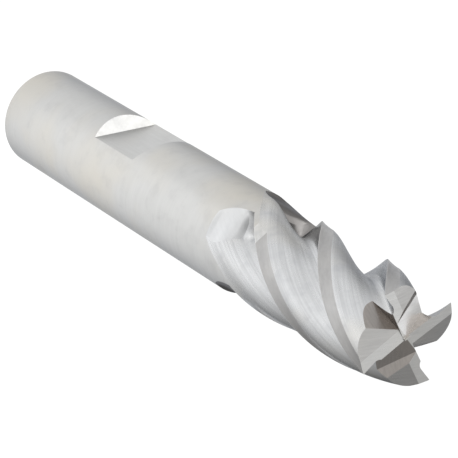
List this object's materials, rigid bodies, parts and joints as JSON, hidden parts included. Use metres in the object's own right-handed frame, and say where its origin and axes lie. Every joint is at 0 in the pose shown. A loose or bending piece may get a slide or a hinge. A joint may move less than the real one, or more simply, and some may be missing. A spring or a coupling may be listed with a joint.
{
  "type": "end mill",
  "caption": "Square end mill: round steel shank with one clamping flat, helical flutes, and end teeth that cut to the centre.",
  "frame": {"origin": "centre of the shank's flat end face; the tool stands on it", "axes": "+Z along the tool axis to the cutting end, -Y the outward normal of the Weldon flat, +X completes the right-handed frame"},
  "size_m": [0.0096, 0.0096, 0.0635],
  "materials": {
    "shank_steel": "ground satin steel",
    "cutter_steel": "ground flutes and lands with fine wheel lines"
  },
  "bodies": {
    "root": {"shank": "shank_steel", "cutting_end": "cutter_steel"}
  },
  "joints": []
}
